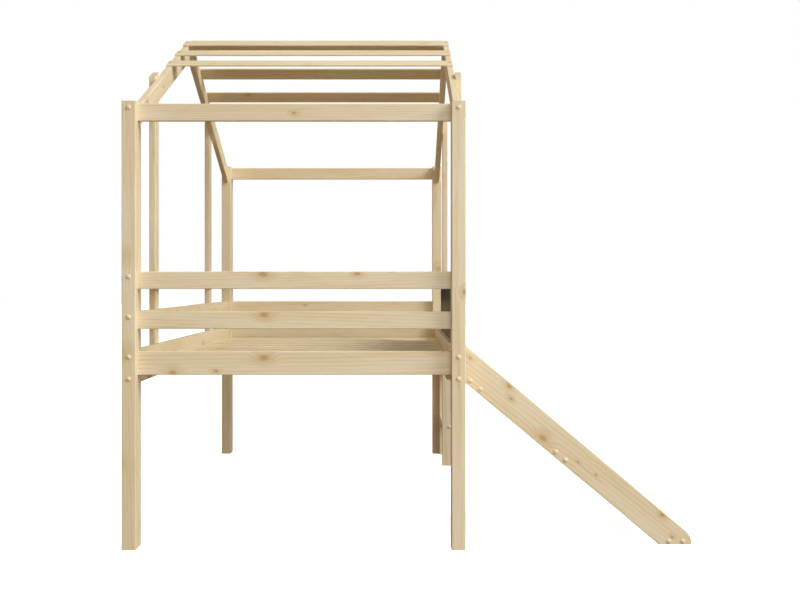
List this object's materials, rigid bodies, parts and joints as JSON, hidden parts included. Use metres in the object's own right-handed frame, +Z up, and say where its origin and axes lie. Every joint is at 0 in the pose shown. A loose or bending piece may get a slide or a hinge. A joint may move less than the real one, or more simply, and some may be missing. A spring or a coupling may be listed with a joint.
{
  "type": "house bed with slide",
  "caption": "Raised child's bed in pine with a gabled roof frame, guard boards, slatted deck, side slide and ladder.",
  "frame": {"origin": "on the floor, under the middle of the box round the whole bed and its slide", "axes": "+X across the bed towards the slide, +Y along the bed from the foot end to the head end, +Z up"},
  "size_m": [1.652, 2.117, 1.6511],
  "materials": {
    "pine": "planed pine, clear matt lacquer",
    "chalkboard": "fibreboard with matt black chalkboard paint",
    "cover_caps": "moulded cream plastic cover caps over steel bolts",
    "screws": "yellow zinc plated"
  },
  "bodies": {
    "root": {"chalkboard": "chalkboard", "chalkboard_screws": "screws", "cleat_screws": "screws", "deck_screws": "screws", "deck_slats": "pine", "end_board_bolts": "cover_caps", "foot_left_post": "pine", "foot_lower_guard": "pine", "foot_rail": "pine", "foot_right_post": "pine", "foot_roof_slat_1": "pine", "foot_roof_slat_2": "pine", "foot_roof_slat_3": "pine", "foot_top_beam": "pine", "foot_upper_guard": "pine", "head_left_post": "pine", "head_lower_guard": "pine", "head_rail": "pine", "head_right_post": "pine", "head_roof_slat_1": "pine", "head_roof_slat_2": "pine", "head_roof_slat_3": "pine", "head_top_beam": "pine", "head_upper_guard": "pine", "ladder_bolts": "cover_caps", "ladder_foot_stile": "pine", "ladder_head_stile": "pine", "ladder_lower_tread": "pine", "ladder_upper_tread": "pine", "left_cleat": "pine", "left_foot_rafter": "pine", "left_foot_stud": "pine", "left_head_rafter": "pine", "left_head_stud": "pine", "left_lower_guard": "pine", "left_side_rail": "pine", "left_upper_guard": "pine", "post_end_bolts": "cover_caps", "ridge_beam": "pine", "right_cleat": "pine", "right_foot_rafter": "pine", "right_foot_stud": "pine", "right_head_rafter": "pine", "right_head_stud": "pine", "right_side_rail": "pine", "roof_screws": "screws", "slide_bed": "pine", "slide_bolts": "cover_caps", "slide_foot_cheek": "pine", "slide_head_cheek": "pine", "slide_middle_bar": "pine", "slide_toe_bar": "pine", "slide_top_bar": "pine", "stud_screws": "screws"}
  },
  "joints": []
}
